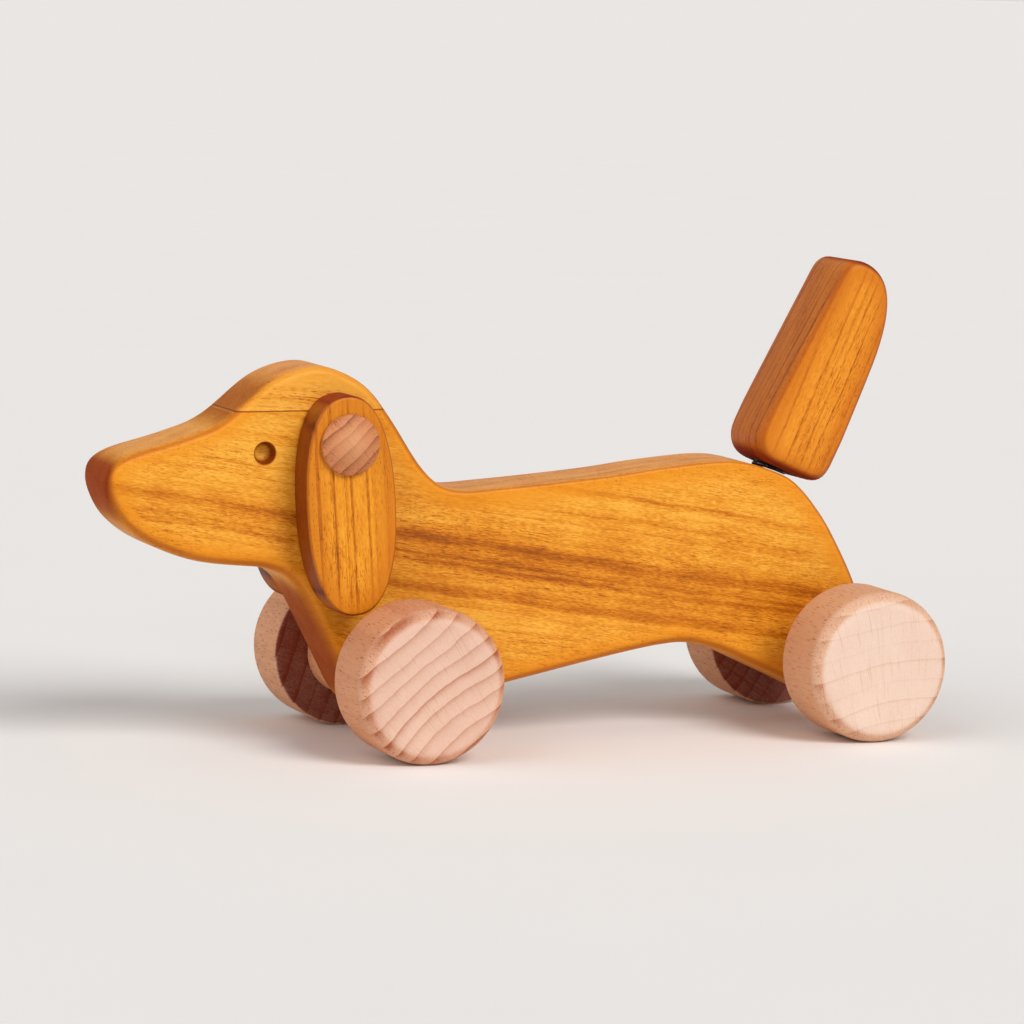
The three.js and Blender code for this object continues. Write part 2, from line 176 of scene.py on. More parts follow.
def fill_flat(board, ring):
    """Closes a flat side of a board with small triangles inside a ring of its points."""
    corners = [Vector((vert.co.x, vert.co.z)) for vert in ring]
    near = KDTree(len(corners))
    for index, corner in enumerate(corners):
        near.insert(corner.to_3d(), index)
    near.balance()
    low = [min(corner[axis] for corner in corners) for axis in range(2)]
    counts = [int((max(corner[axis] for corner in corners) - low[axis]) / FACE_GRID) for axis in range(2)]
    grid = [Vector((low[0] + column * FACE_GRID, low[1] + row * FACE_GRID))
            for column in range(counts[0] + 1) for row in range(counts[1] + 1)]
    inner = [point for point in grid if near.find(point.to_3d())[2] > FACE_GRID / 2]
    sides = [(index - 1, index) if index else (len(corners) - 1, 0) for index in range(len(corners))]
    places, _, faces, origins, _, _ = delaunay_2d_cdt(
        corners + inner, sides, [], FILL_INSIDE_ONLY, WELD)
    verts = {}
    for face in faces:
        for index in face:
            if index not in verts:
                origin = min(origins[index])
                if origin < len(corners):
                    verts[index] = ring[origin]
                else:
                    spot = (places[index].x, ring[0].co.y, places[index].y)
                    verts[index] = board.verts.new(spot)
        board.faces.new([verts[index] for index in face])


def rounded_board(outline, low, high, edges, steps):
    """A board of that outline between two depths along Y. Its edges are rounded over, by a radius that is
    given for each point of the outline."""
    board = bmesh.new()
    middle = (low + high) / 2
    half = (high - low) / 2
    profile = [(1, 0, FLAT_RIM)]
    for step in range(steps + 1):
        angle = math.pi / 2 * step / steps
        profile.append((1 - math.sin(angle), 1 - math.cos(angle), 0))
    rings = []
    inward = []
    for index in range(len(outline)):
        direction = (outline[(index + 1) % len(outline)] - outline[index - 1]).normalized()
        inward.append(Vector((-direction.y, direction.x)))
    for side, rows in ((1, profile), (-1, reversed(profile))):
        for inset, drop, rim in rows:
            ring = []
            for corner, way, edge in zip(outline, inward, edges):
                point = corner + way * (inset * edge + rim)
                ring.append(board.verts.new((point.x, middle + side * (half - drop * edge), point.y)))
            rings.append(ring)
    for first, second in zip(rings, rings[1:]):
        for index in range(len(outline)):
            board.faces.new((first[index - 1], first[index], second[index], second[index - 1]))
    fill_flat(board, rings[0])
    fill_flat(board, rings[-1])
    bmesh.ops.recalc_face_normals(board, faces=board.faces)
    return board


def add_bit(bits, profile, place):
    """Adds a drill bit: a profile of (radius, height) turned about its height and put in place."""
    rings = []
    for radius, height in profile:
        ring = []
        for side in range(BIT_SIDES):
            angle = 2 * math.pi * side / BIT_SIDES
            if radius or not ring:
                spot = Vector((radius * math.cos(angle), radius * math.sin(angle), height))
                ring.append(bits.verts.new(place @ spot))
            else:
                ring.append(ring[0])
        rings.append(ring)
    for first, second in zip(rings, rings[1:]):
        for side in range(BIT_SIDES):
            corners = (first[side - 1], first[side], second[side], second[side - 1])
            bits.faces.new(dict.fromkeys(corners))


def straight_bit(bits, radius, low, high, place):
    add_bit(bits, [(0, low), (radius, low), (radius, high), (0, high)], place)


def plain_mesh(source):
    """What an object's modifiers make of it, as a mesh of its own."""
    return bpy.data.meshes.new_from_object(source.evaluated_get(bpy.context.evaluated_depsgraph_get()))


def scratch_object(shape):
    """An object for work in hand, from a bmesh that it uses up."""
    mesh = bpy.data.meshes.new("Work in hand")
    shape.to_mesh(mesh)
    shape.free()
    thing = bpy.data.objects.new("Work in hand", mesh)
    bpy.context.scene.collection.objects.link(thing)
    return thing


def drilled(board, bits):
    """The board with the holes that those bits cut."""
    bmesh.ops.recalc_face_normals(bits, faces=bits.faces)
    stock = scratch_object(board)
    drill = scratch_object(bits)
    cut = stock.modifiers.new("Drill", "BOOLEAN")
    cut.operation = "DIFFERENCE"
    cut.solver = "EXACT"
    cut.object = drill
    mesh = plain_mesh(stock)
    bpy.data.objects.remove(stock)
    bpy.data.objects.remove(drill)
    result = bmesh.new()
    result.from_mesh(mesh)
    return result


def sawn_at(board, height, keep_above):
    """A copy of the board, cut level at that height and closed there."""
    part = board.copy()
    everything = [*part.verts, *part.edges, *part.faces]
    cut = bmesh.ops.bisect_plane(
        part, geom=everything, dist=CUT_SNAP, plane_co=(0, 0, height), plane_no=(0, 0, 1),
        clear_inner=keep_above, clear_outer=not keep_above)
    rim = [edge for edge in cut["geom_cut"] if isinstance(edge, bmesh.types.BMEdge)]
    bmesh.ops.holes_fill(part, edges=rim, sides=0)
    bmesh.ops.recalc_face_normals(part, faces=part.faces)
    return part


def add_piece(name, shape, finish, outline=None):
    """A finished piece. A sawn one also stores how far each point lies inside its outline, in mm."""
    mesh = bpy.data.meshes.new(name)
    shape.to_mesh(mesh)
    shape.free()
    if outline:
        near = KDTree(len(outline))
        for index, corner in enumerate(outline):
            near.insert(corner.to_3d(), index)
        near.balance()
        inside = [near.find((vert.co.x, vert.co.z, 0))[2] / MM for vert in mesh.vertices]
        mesh.attributes.new("from_edge", "FLOAT", "POINT").data.foreach_set("value", inside)
    mesh.shade_smooth()
    mesh.set_sharp_from_angle(angle=SHARP_CORNER)
    mesh.materials.append(finish)
    thing = bpy.data.objects.new(name, mesh)
    bpy.context.scene.collection.objects.link(thing)
    return thing


class Wire:
    """A socket of a node tree. Sums on wires add Math nodes, and node adds any other kind."""

    def __init__(self, tree, socket=None):
        self.tree = tree
        self.socket = socket

    def node(self, kind, settings=None, values=None, output=0):
        made = self.tree.nodes.new(kind)
        for name, setting in (settings or {}).items():
            if name == "stops":
                ramp = made.color_ramp.elements
                ramp[0].position, ramp[0].color = setting[0]
                ramp[1].position, ramp[1].color = setting[-1]
                for position, colour in setting[1:-1]:
                    ramp.new(position).color = colour
            elif name == "easing":
                made.color_ramp.interpolation = setting
            else:
                setattr(made, name, setting)
        for name, value in (values or {}).items():
            if isinstance(value, Wire):
                self.tree.links.new(value.socket, made.inputs[name])
            else:
                made.inputs[name].default_value = value
        return Wire(self.tree, made.outputs[output] if made.outputs else None)

    def other(self, output):
        return Wire(self.tree, self.socket.node.outputs[output])

    def maths(self, operation, *values):
        return self.node("ShaderNodeMath", {"operation": operation}, dict(enumerate(values)))

    def vector(self, operation, *values, output=0):
        sockets = dict(enumerate((self, *values)))
        return self.node("ShaderNodeVectorMath", {"operation": operation}, sockets, output)

    def parts(self):
        made = self.node("ShaderNodeSeparateXYZ", {}, {"Vector": self})
        return [made.other(axis) for axis in "XYZ"]

    def fade(self, start, end):
        """0 up to the start and 1 past the end, with a soft change between them."""
        limits = {"Value": self, "From Min": start, "From Max": end}
        return self.node("ShaderNodeMapRange", {"interpolation_type": "SMOOTHSTEP"}, limits)

    def noise(self, size, detail, output="Fac"):
        """Soft noise over these coordinates, with marks of that size."""
        cells = self.vector("DIVIDE", size)
        return self.node("ShaderNodeTexNoise", {}, {"Vector": cells, "Scale": 1, "Detail": detail}, output)

    def swing(self, size, detail):
        """The same noise about 0, mostly between -1 and 1."""
        return 3 * (self.noise(size, detail) - 0.5)

    def ring(self):
        """For a count of rings: the share of the way through a ring, and a random number for that ring."""
        phase = self.maths("FRACT", self)
        chance = self.node("ShaderNodeTexWhiteNoise", {"noise_dimensions": "1D"}, {"W": self - phase})
        return phase, chance

    def mix(self, colour, share, how="MIX"):
        """This colour with a share of another mixed in."""
        settings = {"data_type": "RGBA", "blend_type": how}
        return self.node("ShaderNodeMix", settings, {0: share, 6: self, 7: colour}, 2)

    def surface(self, values):
        """Ends a finish with one shader."""
        shader = self.node("ShaderNodeBsdfPrincipled", {}, values)
        self.node("ShaderNodeOutputMaterial", {}, {"Surface": shader})

    def __add__(self, other):
        return self.maths("ADD", self, other)

    def __sub__(self, other):
        return self.maths("SUBTRACT", self, other)

    def __rsub__(self, other):
        return self.maths("SUBTRACT", other, self)

    def __mul__(self, other):
        return self.maths("MULTIPLY", self, other)

    def __truediv__(self, other):
        return self.maths("DIVIDE", self, other)

    def __pow__(self, other):
        return self.maths("POWER", self, other)

    def __abs__(self):
        return self.maths("ABSOLUTE", self)

    __radd__ = __add__
    __rmul__ = __mul__


def seen(red, green, blue):
    """A colour as the eye sees it, in steps from 0 to 255, as the light that a shader takes."""
    shares = [value / 255 for value in (red, green, blue)]
    return (*(share / 12.92 if share < 0.04045 else ((share + 0.055) / 1.055) ** 2.4 for share in shares), 1)


def grey(value):
    return (value, value, value, 1)


def new_finish(name):
    finish = bpy.data.materials.new(name)
    finish.use_nodes = True
    finish.node_tree.nodes.clear()
    return finish, Wire(finish.node_tree)


# Marks in the oiled wood: their sizes in mm along the fibres, through the board and across it.
SLOW_DRIFT = (110, 34, 34)
RING_WAVE = (24, 6, 6)
RAGGED_EDGE = (12, 0.8, 0.8)
BAND_PATCH = (65, 9, 9)
SHORT_FIBRE = (1.9, 0.36, 0.36)
LONG_FIBRE = (42, 1.3, 1.3)
MOTTLE = (15, 6, 6)
PORE_ZONE = (60, 12, 12)
DASH = (3.4, 0.36, 0.36)
PORE = (1.6, 0.42, 0.42)
# Lengths in mm over which a mark comes up: ahead of the place, in from the outline and from the glue.
BEND_START = 30
CALM_AHEAD = (60, 110)
OUTER_SHELL = (6, 4.5)
EDGE_GLOW = (9.5, 1)
GLUE_LINE = (0.2, 0.02)
# How squarely a surface faces along the board's thickness, or for end grain along the fibres.
SAWN_WALL = (0.75, 0.2)
DRILLED_WALL = (0.94, 0.5)
ROUNDED_EDGE = (0.99, 0.8)
END_GRAIN = (0.42, 0.86)
# Painted shade for the drilled eye cups.
CUP_SHADE_TINT = seen(150, 94, 42)
# Painted shade for the rounded edges, against the lamp's highlight.
ROUNDED_EDGE_SHADE = seen(220, 200, 160)
END_GRAIN_TINT = seen(164, 102, 42)
GLUE_TINT = seen(196, 156, 110)
OIL_GLOSS = 0.22
FIBRE_RELIEF = 0.12 * MM


def oiled_wood(
        name, place, turn, pith, taper, bend, fibre_rise, sway, ring_width, ring_depth, bands, tones,
        glow, wall_tint_and_shade, edge_shade_tint=ROUNDED_EDGE_SHADE, glue=None):
    """Oiled hardwood. Its grain runs along the local X of a frame that is turned about Y at a place.
    pith is where the tree's middle lies across the board and through it, in mm. Growth rings cone in by
    taper behind the place, bend up by bend ahead of it and waver by sway, and the fibres climb by
    fibre_rise. bands gives light and dark by distance from the pith, in mm, and they grow faint far ahead
    of the place. Fine rings are ring_width mm apart and as dark as ring_depth says.
    tones has the colours from light to dark, and glow is the colour near the edges, where oil darkens the
    wood and part of the darkening is painted shade. wall_tint_and_shade darkens the sawn sides, partly as
    painted shade, and gives the body's sides a painted pink reflection. edge_shade_tint darkens the rounded
    edges as painted shade against the lamp's highlight. A dark glue line crosses the board at the height
    glue, in mm above the place."""
    finish, start = new_finish(name)
    spot = start.node("ShaderNodeTexCoord", output="Object")
    local = start.node("ShaderNodeMapping", {"vector_type": "TEXTURE"}, {
        "Vector": spot, "Location": place, "Rotation": (0, turn, 0), "Scale": (MM, MM, MM)})
    along, through, across = local.parts()
    fibres = start.node("ShaderNodeCombineXYZ", {}, {
        "X": along, "Y": through, "Z": across - fibre_rise * along})

    # The broad bands follow the distance from the pith, which wavers, cones and bends along the board.
    front = along.maths("SMOOTH_MAX", along, 0, BEND_START)
    _, slow_through, slow_across = fibres.noise(SLOW_DRIFT, 1, "Color").parts()
    up = across - pith[0] - bend * front + 5 * sway * (slow_across - 0.5)
    out = through - pith[1] + 5 * sway * (slow_through - 0.5)
    ragged = 0.3 * fibres.swing(RAGGED_EDGE, 2) + 0.7 * sway * fibres.swing(RING_WAVE, 1)
    reach = (up * up + out * out) ** 0.5 + taper * (along - front) + ragged
    low, high = bands[0][0], bands[-1][0]
    stops = [((distance - low) / (high - low), grey(tone)) for distance, tone in bands]
    band = start.node("ShaderNodeValToRGB", {"stops": stops, "easing": "EASE"}, {
        "Fac": (reach - low) / (high - low)})
    calm = along.fade(*CALM_AHEAD)
    strength = (0.6 + 0.25 * fibres.noise(BAND_PATCH, 1).fade(0.32, 0.68)) * (1 - 0.25 * calm)

    # Each fine ring darkens outwards, by an amount of its own.
    phase, chance = (reach / ring_width).ring()
    late = phase**3 * (0.3 + 0.7 * chance)

    # Masks: the sawn sides, the outer shell of the board, and where the fibres are cut across.
    facing = start.node("ShaderNodeTexCoord", output="Normal")
    flat = abs(facing.parts()[1])
    wall = flat.fade(*SAWN_WALL)
    inside = start.node("ShaderNodeAttribute", {"attribute_name": "from_edge"}, {}, "Fac")
    shell = inside.fade(*OUTER_SHELL)
    rise = turn - math.atan(fibre_rise)
    grain = (math.cos(rise), 0, -math.sin(rise))
    end = abs(facing.vector("DOT_PRODUCT", grain, output="Value")).fade(*END_GRAIN) * shell

    # Fibres and mottling are all over the wood. Dashes and pores gather in zones.
    fine = fibres.swing(SHORT_FIBRE, 2)
    fibre = fibres.swing(LONG_FIBRE, 3)
    mottle = fibres.swing(MOTTLE, 3)
    zone = fibres.noise(PORE_ZONE, 1).fade(0.38, 0.62)
    dash = fibres.noise(DASH, 1).fade(0.58, 0.7) * (0.3 + 0.7 * zone)
    pore_cells = fibres.vector("DIVIDE", PORE)
    pore_near = start.node("ShaderNodeTexVoronoi", {}, {"Vector": pore_cells, "Scale": 1}, "Distance")
    pore_chance = pore_near.other("Color").parts()[0].fade(0.62, 0.66)
    pore = pore_near.fade(0.36, 0.16) * pore_chance * (0.15 + 0.85 * zone)

    # The tone runs from 0, the lightest, to 1. Rings are fainter on the sawn sides, and bands on end grain.
    tone = 0.26 - 0.1 * calm + ring_depth * late * (1 - 0.8 * wall)
    tone = tone + (band - 0.28) * strength * (1 + (0.6 - sway) * wall) * (1 - 0.7 * end)
    tone = tone + (0.18 + 0.14 * sway) * fine + 0.14 * fibre + 0.2 * mottle + 0.38 * dash
    steps = [(index / (len(tones) - 1), colour) for index, colour in enumerate(tones)]
    colour = start.node("ShaderNodeValToRGB", {"stops": steps}, {"Fac": tone})

    # Oil gathers near the edges and in cut fibres, so each of those takes a tint. The tint near the edges is
    # partly painted shade.
    rim = (inside + 2.5 * mottle).fade(*EDGE_GLOW) * (1 - wall) * (0.75 - 0.3 * dash)
    colour = colour.mix(glow, rim)
    # Painted shade: the drilled eye cups are darkened as if in their own shadow.
    cup_shade = flat.fade(*DRILLED_WALL) * (1 - shell)
    colour = colour.mix(CUP_SHADE_TINT, cup_shade, "MULTIPLY")
    # Painted shade: the rounded edges are darkened to take down the lamp's highlight on them.
    rounded = flat.fade(*ROUNDED_EDGE) * (1 - wall) * shell
    colour = colour.mix(edge_shade_tint, rounded, "MULTIPLY")
    # The sawn sides are darkened, partly as their own tone and partly as painted shade; on the body the tint
    # also carries a painted pink reflection.
    colour = colour.mix(wall_tint_and_shade, wall * (1 - end) * shell, "MULTIPLY")
    colour = colour.mix(END_GRAIN_TINT, end, "MULTIPLY")
    colour = colour.mix(tones[-1], 0.6 * pore)
    if glue is not None:
        colour = colour.mix(GLUE_TINT, abs(across - glue).fade(*GLUE_LINE), "MULTIPLY")

    roughness = 0.46 + 0.05 * fine + 0.2 * pore + 0.03 * mottle + 0.4 * end
    height = 0.25 * fine + 0.2 * fibre - pore - 0.5 * dash
    normal = start.node("ShaderNodeBump", {}, {"Strength": 0.3, "Distance": FIBRE_RELIEF, "Height": height})
    start.surface({
        "Base Color": colour, "Roughness": roughness, "Normal": normal, "Specular IOR Level": OIL_GLOSS})
    return finish


trunk_run = kept_run(sawn_outline("body_board", SAW_CUT_DEPTH), lambda corner: corner.y < seam - FIT)
crown_run = kept_run(sawn_outline("head_crown", SAW_CUT_DEPTH), lambda corner: corner.y > crown_foot + FIT)
dog_outline = smoothed(trunk_run + crown_run, OUTLINE_STEP)
dog_edges = []
for index, corner in enumerate(dog_outline):
    ahead = dog_outline[(index + EDGE_RUN) % len(dog_outline)]
    direction = (ahead - dog_outline[index - EDGE_RUN]).normalized()
    forward = min(1, max(0, (corner.x - BACK_FRONT) / (CROWN_REAR - BACK_FRONT)))
    top_edge = BACK_EDGE + (CROWN_EDGE - BACK_EDGE) * forward
    share = min(1, max(0, -direction.x))
    dog_edges.append(BOARD_EDGE + (top_edge - BOARD_EDGE) * share * share * (3 - 2 * share))
bits = bmesh.new()
for joint in ("front_wheels_roll", "rear_wheels_roll"):
    across_board = Matrix.Translation(joint_place[joint]) @ Matrix.Rotation(-math.pi / 2, 4, "X")
    straight_bit(bits, AXLE_RADIUS + FIT, -2 * half_board, 2 * half_board, across_board)
for side, swing in ((1, "left_ear_swing"), (-1, "right_ear_swing")):
    outward = Matrix.Rotation(-side * math.pi / 2, 4, "X")
    eye = Vector((joint_place["front_wheels_roll"].x + EYE_AHEAD, 0, seam - EYE_BELOW_SEAM))
    cup = []
    for step in range(EYE_STEPS + 1):
        angle = math.pi / 2 * step / EYE_STEPS
        cup.append((EYE_RADIUS * math.sin(angle), half_board - EYE_RIM - EYE_DEPTH * math.cos(angle)))
    rim = [(EYE_RADIUS + 2 * EYE_RIM, half_board + EYE_RIM), (0, half_board + EYE_RIM)]
    add_bit(bits, cup + rim, Matrix.Translation(eye) @ outward)
    peg = Vector((joint_place[swing].x, 0, joint_place[swing].z))
    peg_bottom = half_board - PEG_SEAT - GLUE_ROOM
    straight_bit(bits, PEG_SHANK_RADIUS + FIT, peg_bottom, 2 * half_board, Matrix.Translation(peg) @ outward)
spring_hole = SPRING_LENGTH / 2 + GLUE_ROOM
straight_bit(bits, SPRING_RADIUS + SPRING_ROOM, -spring_hole, spring_hole, tail_place)
dog = drilled(rounded_board(dog_outline, -half_board, half_board, dog_edges, EDGE_STEPS), bits)

BODY_TONES = (seen(249, 182, 66), seen(231, 150, 37), seen(200, 112, 13), seen(154, 78, 2))
BODY_GLOW = seen(234, 142, 14)
# The sawn sides take a darker tone of their own, with a pink cast that is a painted reflection.
BODY_WALL_AND_REFLECTION = seen(240, 228, 232)
BODY_BANDS = (
    (-20, 0.3), (-8, 0.2), (0.4, 0.2), (1.4, 0.65), (2.6, 0.2), (4, 0.12), (9, 0.32), (13, 0.25), (17, 0.3),
    (20.3, 0.55), (22.6, 1), (24.4, 0.65), (26.6, 0.6), (27.9, 0.85), (28.9, 0.65), (29.9, 0.9),
    (31.3, 0.6), (32.9, 0.45), (36.3, 0.5), (38.9, 0.85), (40.8, 0.3), (46, 0.15), (52, 0.25), (60, 0.35))
V_FIGURE = Vector((-10.1, 0, 82.5)) * MM
body_wood = oiled_wood(
    "Oiled body board", place=V_FIGURE, turn=0, pith=(0, 10.5), taper=0.153, bend=0.175, fibre_rise=0.16,
    sway=1, ring_width=3.1, ring_depth=0.2, bands=BODY_BANDS, tones=BODY_TONES, glow=BODY_GLOW,
    wall_tint_and_shade=BODY_WALL_AND_REFLECTION, glue=(seam - V_FIGURE.z) / MM)
body = add_piece("sawn_body", sawn_at(dog, seam + GLUE_SWELL, False), body_wood, dog_outline)
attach(body, "root")
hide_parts("body_board")

# Crown
# A strip of the same hardwood is glued along the top of the head, because the board was too narrow for it.
# It was sawn and rounded over with the body, so only its grain and a fine dark glue line show.
CROWN_BANDS = (
    (-6, 0.05), (2, 0.05), (6, 0.3), (8, 0.05), (11, 0.05), (13.5, 0.3), (16, 0.1), (18, 0.05),
    (20.2, 0.15), (20.7, 0.55), (21.2, 0.1), (24.2, 0.1), (25.1, 0.5), (25.8, 0.12), (31, 0.2))
CROWN_PLACE = Vector((70, 0, 128)) * MM
CROWN_TONES = (seen(251, 189, 80), seen(237, 160, 52), seen(204, 116, 20), seen(154, 78, 2))
CROWN_GLOW = seen(240, 163, 50)
# Painted shade for the crown's rounded edges.
CROWN_EDGE_SHADE = seen(242, 232, 210)
# The crown's sawn sides take a darker tone of their own, with a pink cast that is a painted reflection.
CROWN_WALL_AND_REFLECTION = seen(232, 208, 196)
crown_wood = oiled_wood(
    "Oiled crown strip", place=CROWN_PLACE, turn=0, pith=(0, -6), taper=0.05, bend=0.1, fibre_rise=0.1,
    sway=1, ring_width=3.4, ring_depth=0.2, bands=CROWN_BANDS, tones=CROWN_TONES, glow=CROWN_GLOW,
    wall_tint_and_shade=CROWN_WALL_AND_REFLECTION, edge_shade_tint=CROWN_EDGE_SHADE, glue=(crown_foot - CROWN_PLACE.z) / MM)
crown = add_piece("glued_crown", sawn_at(dog, crown_foot - GLUE_SWELL, True), crown_wood, dog_outline)
dog.free()
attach(crown, "root")
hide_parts("head_crown")

# Ears
# Two long ovals of redder hardwood, sawn with the grain upright, with their edges barely eased.
# A hole near the top lets each swing freely on the shank of its peg.
EAR_EDGE = 1.2 * MM
EAR_EDGE_STEPS = 4
EAR_STEP = 0.9 * MM
EAR_TONES = (seen(244, 166, 46), seen(227, 141, 24), seen(190, 104, 10), seen(128, 60, 2))
EAR_GLOW = seen(206, 116, 14)
# Painted shade: the ears' sawn sides are darkened far past their own tone, as if in shade.
EAR_WALL_SHADE = seen(146, 104, 60)
EAR_BANDS = (
    (40, 0.3), (48, 0.15), (50.2, 0.2), (51, 0.7), (51.6, 0.2), (56.3, 0.15), (57, 0.75), (57.6, 0.15),
    (61.3, 0.2), (62.2, 0.9), (62.8, 0.15), (64.4, 0.15), (65, 0.5), (65.5, 0.1), (67.2, 0.15), (68, 0.85),
    (68.6, 0.15), (72.3, 0.2), (73, 0.65), (74, 0.2), (85, 0.3))
# How far the grain of each ear leans from upright, in degrees.
EAR_LEANS = (("left", 4.3), ("right", -1))
for side, lean in EAR_LEANS:
    node = f"{side}_ear"
    swing = joint_place[f"{side}_ear_swing"]
    low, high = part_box(node)
    outline = smoothed(sawn_outline(node, (low.y + high.y) / 2), EAR_STEP)
    bits = bmesh.new()
    across_ear = Matrix.Translation((swing.x, 0, swing.z)) @ Matrix.Rotation(-math.pi / 2, 4, "X")
    straight_bit(bits, PEG_SHANK_RADIUS + FIT, low.y - EAR_EDGE, high.y + EAR_EDGE, across_ear)
    edges = [EAR_EDGE] * len(outline)
    shape = drilled(rounded_board(outline, low.y, high.y, edges, EAR_EDGE_STEPS), bits)
    wood = oiled_wood(
        f"Oiled {side} ear", place=swing, turn=math.radians(lean - 90), pith=(62, 4), taper=0, bend=0,
        fibre_rise=0, sway=0.35, ring_width=4.6, ring_depth=0.45, bands=EAR_BANDS, tones=EAR_TONES,
        glow=EAR_GLOW, wall_tint_and_shade=EAR_WALL_SHADE)
    ear = add_piece(f"{side}_swinging_ear", shape, wood, outline)
    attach(ear, node)
    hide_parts(node)

# Pegs
# Turned beech buttons hold the ears. Each has a domed head with a faint point at its middle,
# where the lathe let it go, and a shank that is glued into the head.
LATHE_SPINDLE = 10 * MM
ROUND_STEPS = 8
PEG_SIDES = 64
PEG_RADIUS = 9.7 * MM
PEG_RIM = 1.2 * MM
PEG_RIM_EASE = 0.9 * MM
PEG_UNDER_EASE = 0.3 * MM
PEG_SHANK_EASE = 0.4 * MM
PEG_DOME = 4 * MM
PEG_DOME_POWER = 1.5
PEG_DOME_STEPS = 20


def lathe_nodes():
    """Geometry Nodes that turn a profile about Y. The profile is a chain of edges with its radius along X
    and its height along Y, and the attribute round gives the radius of each corner."""
    tree = bpy.data.node_groups.new("Lathe", "GeometryNodeTree")
    sockets = tree.interface
    sockets.new_socket("Profile", in_out="INPUT", socket_type="NodeSocketGeometry")
    sockets.new_socket("Sides", in_out="INPUT", socket_type="NodeSocketInt")
    sockets.new_socket("Round Steps", in_out="INPUT", socket_type="NodeSocketInt")
    sockets.new_socket("Place", in_out="INPUT", socket_type="NodeSocketVector")
    sockets.new_socket("Finish", in_out="INPUT", socket_type="NodeSocketMaterial")
    sockets.new_socket("Turned piece", in_out="OUTPUT", socket_type="NodeSocketGeometry")
    given = Wire(tree).node("NodeGroupInput", output="Profile")
    chain = given.node("GeometryNodeMeshToCurve", {}, {"Mesh": given})
    rounds = given.node("GeometryNodeInputNamedAttribute", {"data_type": "FLOAT"}, {"Name": "round"})
    eased = given.node("GeometryNodeFilletCurve", {"mode": "POLY"}, {
        "Curve": chain, "Count": given.other("Round Steps"), "Radius": rounds, "Limit Radius": True})
    shifted = given.node("GeometryNodeTransform", {}, {
        "Geometry": eased, "Translation": (-LATHE_SPINDLE, 0, 0)})
    spindle = given.node("GeometryNodeCurvePrimitiveCircle", {}, {
        "Resolution": given.other("Sides"), "Radius": LATHE_SPINDLE})
    turned = given.node("GeometryNodeCurveToMesh", {}, {"Curve": spindle, "Profile Curve": shifted})
    placed = given.node("GeometryNodeTransform", {}, {
        "Geometry": turned, "Translation": given.other("Place"), "Rotation": (math.pi / 2, 0, 0)})
    joined = given.node("GeometryNodeMergeByDistance", {}, {"Geometry": placed, "Distance": WELD})
    whole = given.node("GeometryNodeRealizeInstances", {}, {"Geometry": joined})
    made = given.node("GeometryNodeSetMaterial", {}, {"Geometry": whole, "Material": given.other("Finish")})
    given.node("NodeGroupOutput", {}, {"Turned piece": made})
    return tree


lathe = lathe_nodes()


def run_nodes(name, chain, tree, inputs, rounds=None):
    """A chain of points run through Geometry Nodes, as a plain bmesh that faces outwards."""
    mesh = bpy.data.meshes.new(name)
    mesh.from_pydata(chain, [(index, index + 1) for index in range(len(chain) - 1)], [])
    mesh.attributes.new("round", "FLOAT", "POINT").data.foreach_set("value", rounds or [0] * len(chain))
    stock = bpy.data.objects.new(name, mesh)
    bpy.context.scene.collection.objects.link(stock)
    work = stock.modifiers.new(tree.name, "NODES")
    work.node_group = tree
    for item in tree.interface.items_tree:
        if item.in_out == "INPUT" and item.name in inputs:
            work[item.identifier] = inputs[item.name]
    result = bmesh.new()
    result.from_mesh(plain_mesh(stock))
    bpy.data.objects.remove(stock)
    bmesh.ops.recalc_face_normals(result, faces=result.faces)
    return result


def turned_piece(name, place, side, sides, finish, profile):
    """A piece turned about the line along Y through a place. Each row of the profile has a radius, a height
    towards that side, and the radius that its corner is rounded to."""
    chain = [(radius, side * height, 0) for radius, height, _ in profile]
    rounds = [corner for _, _, corner in profile]
    sizes = {"Sides": sides, "Round Steps": ROUND_STEPS, "Place": place, "Finish": finish}
    return add_piece(name, run_nodes(name, chain, lathe, sizes, rounds), finish)


# Marks in the bare beech: their sizes in mm along X, along the grain and along Z.
RING_DRIFT = (24, 60, 24)
RING_FRAY = (5, 20, 5)
FINE_GRAIN = (0.55, 6, 0.55)
CLOUD = (12, 20, 12)
FLECK = (0.4, 3.4, 0.4)
THREAD = (0.7, 16, 0.7)
# A ray is thin round the tree, and longest outwards from its middle.
RAY = (0.35, 4, 15)
# How squarely a surface faces along the grain.
SIDE_GRAIN = (0.985, 0.82)
TREAD = (0.7, 0.2)
INNER_SHADE_FACING = (0.5, 0.95)
TURNED_EDGE_TINT = seen(246, 226, 206)
TREAD_TINT = seen(236, 203, 170)
BEECH_GLOSS = 0.3
BEECH_RELIEF = 0.1 * MM


